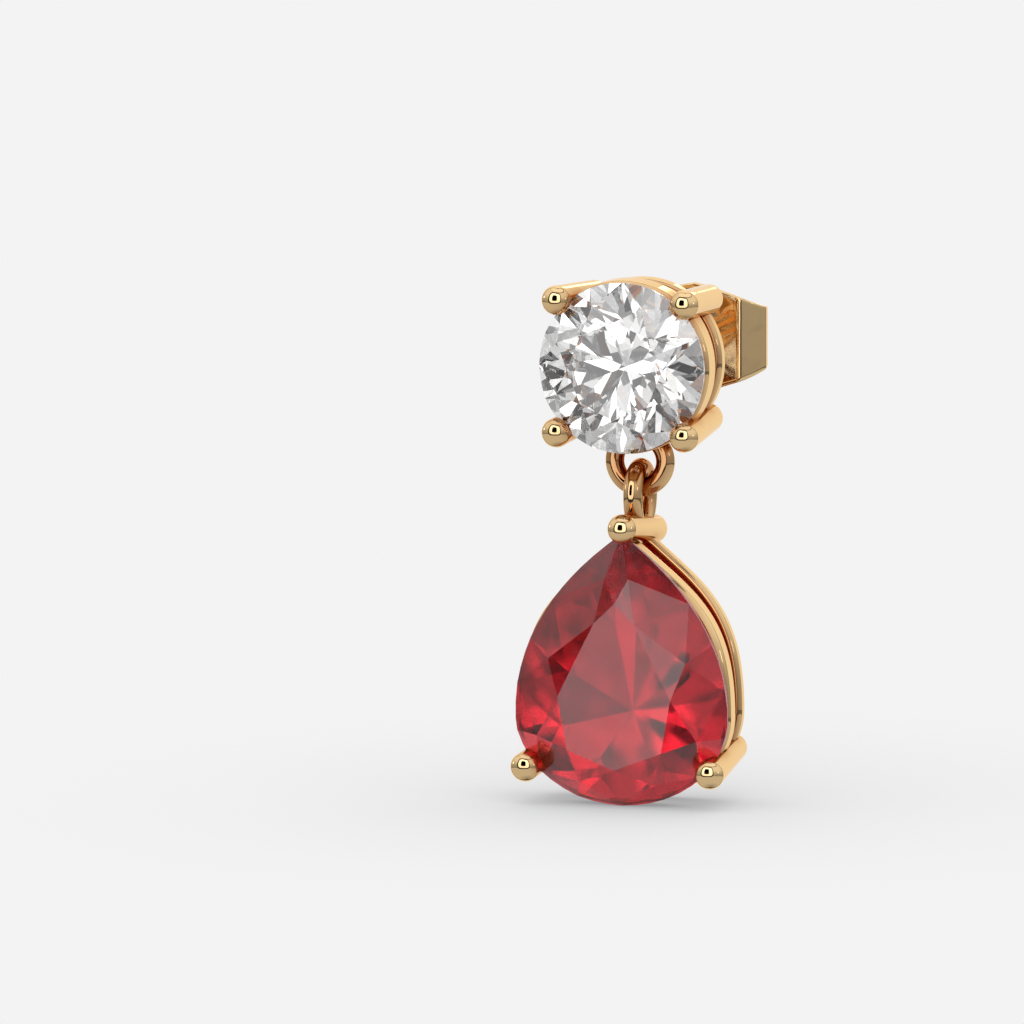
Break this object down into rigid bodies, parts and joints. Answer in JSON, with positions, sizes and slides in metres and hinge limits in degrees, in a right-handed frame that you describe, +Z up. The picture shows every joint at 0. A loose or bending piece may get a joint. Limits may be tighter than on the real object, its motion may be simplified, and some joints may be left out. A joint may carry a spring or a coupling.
{
  "type": "drop earring",
  "caption": "Gold drop earring: a round clear stone in a pronged basket on an ear post, a pear-shaped red stone swinging below on a bail, and a butterfly friction back.",
  "frame": {"origin": "on the axis of the ear post, in the middle of the ear lobe between the stud's basket and the friction back", "axes": "+Z up, -Y the way the stones face, +X to the viewer's right from the front"},
  "size_m": [0.008, 0.0145, 0.0193],
  "materials": {
    "gold": "high polish yellow gold, 14 karat",
    "clear_stone": "polished facets, colourless",
    "red_stone": "polished facets, deep red"
  },
  "bodies": {
    "stud": {"stud_setting": "gold", "round_stone": "clear_stone"},
    "drop": {"drop_setting": "gold", "pear_stone": "red_stone"},
    "back": {"friction_back": "gold"}
  },
  "joints": [
    {"name": "drop_swing", "type": "hinge", "parent": "stud", "child": "drop", "pos_m": [0, -0.00415, -0.00394], "axis": [0, 1, 0], "range_deg": [-45, 45]},
    {"name": "back_slide", "type": "slide", "parent": "stud", "child": "back", "axis": [0, 1, 0], "range_m": [-0.0049, 0.0022]}
  ]
}
